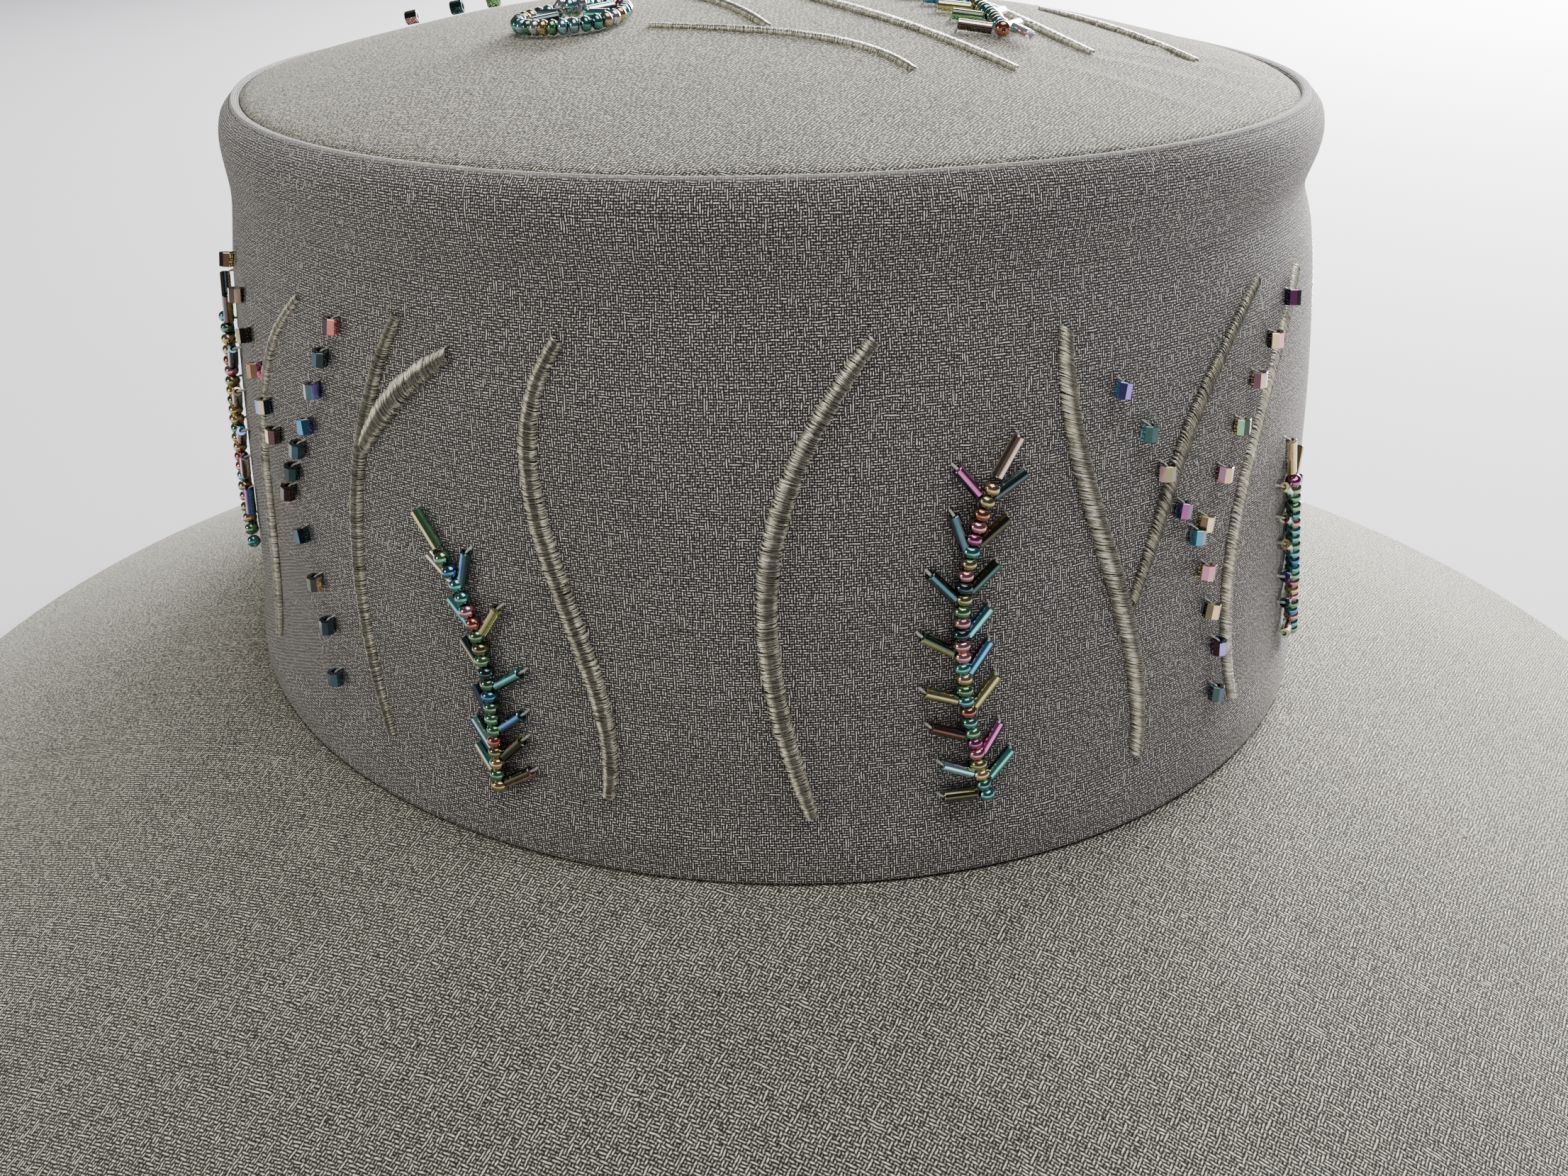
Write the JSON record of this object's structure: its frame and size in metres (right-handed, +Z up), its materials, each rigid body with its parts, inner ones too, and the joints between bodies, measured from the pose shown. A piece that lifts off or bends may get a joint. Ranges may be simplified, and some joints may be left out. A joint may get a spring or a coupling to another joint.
{
  "type": "wool hat",
  "caption": "Hollow wool crepe hat with an oval crown, a domed tip, a sloping brim, satin-stitch stems and bead sprays.",
  "frame": {"origin": "on the floor under the middle of the brim, which is the bottom centre of the hat's box", "axes": "+Z up through the crown, -Y the hat's front, +Y its back, +X the wearer's left"},
  "size_m": [0.3216, 0.3608, 0.135],
  "materials": {
    "wool_cloth": "matte wool crepe with a fine broken weave",
    "satin_thread": "satin stitch in a silvery sage thread",
    "iris_beads": "opaque glass with an iris metallic coat"
  },
  "bodies": {
    "root": {"brim": "wool_cloth", "crown_side": "wool_cloth", "crown_tip": "wool_cloth", "stem_left_outer": "satin_thread", "stem_left_inner": "satin_thread", "stem_left_branch": "satin_thread", "stem_front_left": "satin_thread", "stem_front_middle": "satin_thread", "stem_front_right": "satin_thread", "stem_right_branch": "satin_thread", "stem_right_outer": "satin_thread", "stem_side_right": "satin_thread", "stem_back_right_outer": "satin_thread", "stem_back_right": "satin_thread", "stem_back_middle": "satin_thread", "stem_back_left": "satin_thread", "stem_back_left_outer": "satin_thread", "stem_side_left": "satin_thread", "tip_stem_flower": "satin_thread", "tip_stem_long": "satin_thread", "tip_stem_leaf": "satin_thread", "tip_stem_side": "satin_thread", "tip_stem_middle": "satin_thread", "bead_spray_left_side": "iris_beads", "bead_spray_front_left": "iris_beads", "bead_spray_front_right": "iris_beads", "bead_spray_right_side": "iris_beads", "bead_spray_side_back": "iris_beads", "bead_spray_back_right": "iris_beads", "bead_spray_back_left": "iris_beads", "tip_bead_spray": "iris_beads", "tip_bead_flower": "iris_beads"}
  },
  "joints": []
}
